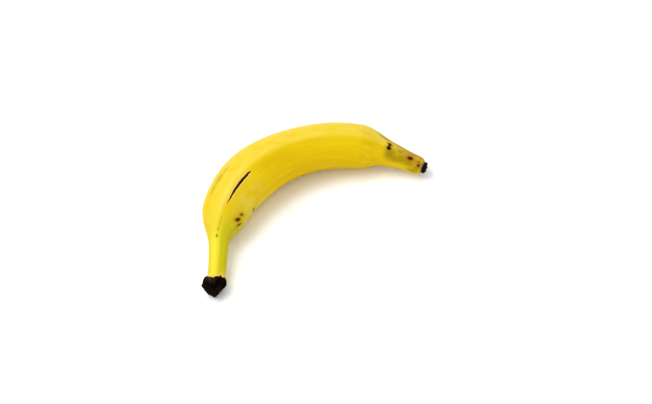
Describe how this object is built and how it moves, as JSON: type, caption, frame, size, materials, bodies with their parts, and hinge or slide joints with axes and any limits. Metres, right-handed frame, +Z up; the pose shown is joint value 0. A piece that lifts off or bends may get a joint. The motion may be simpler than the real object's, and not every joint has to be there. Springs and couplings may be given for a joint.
{
  "type": "plantain",
  "caption": "Whole ripe plantain lying on its side: a thick five-ridged curved fruit with a cut stem and a narrow, blunt flower end.",
  "frame": {"origin": "on the surface that the fruit rests on, under the centre of its box", "axes": "+X along the chord from the cut stem to the flower end, +Y towards the outer side of the curve, +Z up from the surface it rests on"},
  "size_m": [0.2334, 0.1076, 0.0481],
  "materials": {
    "peel": "waxy yellow peel with brown marks, blackened at both ends"
  },
  "bodies": {
    "root": {"plantain": "peel"}
  },
  "joints": []
}
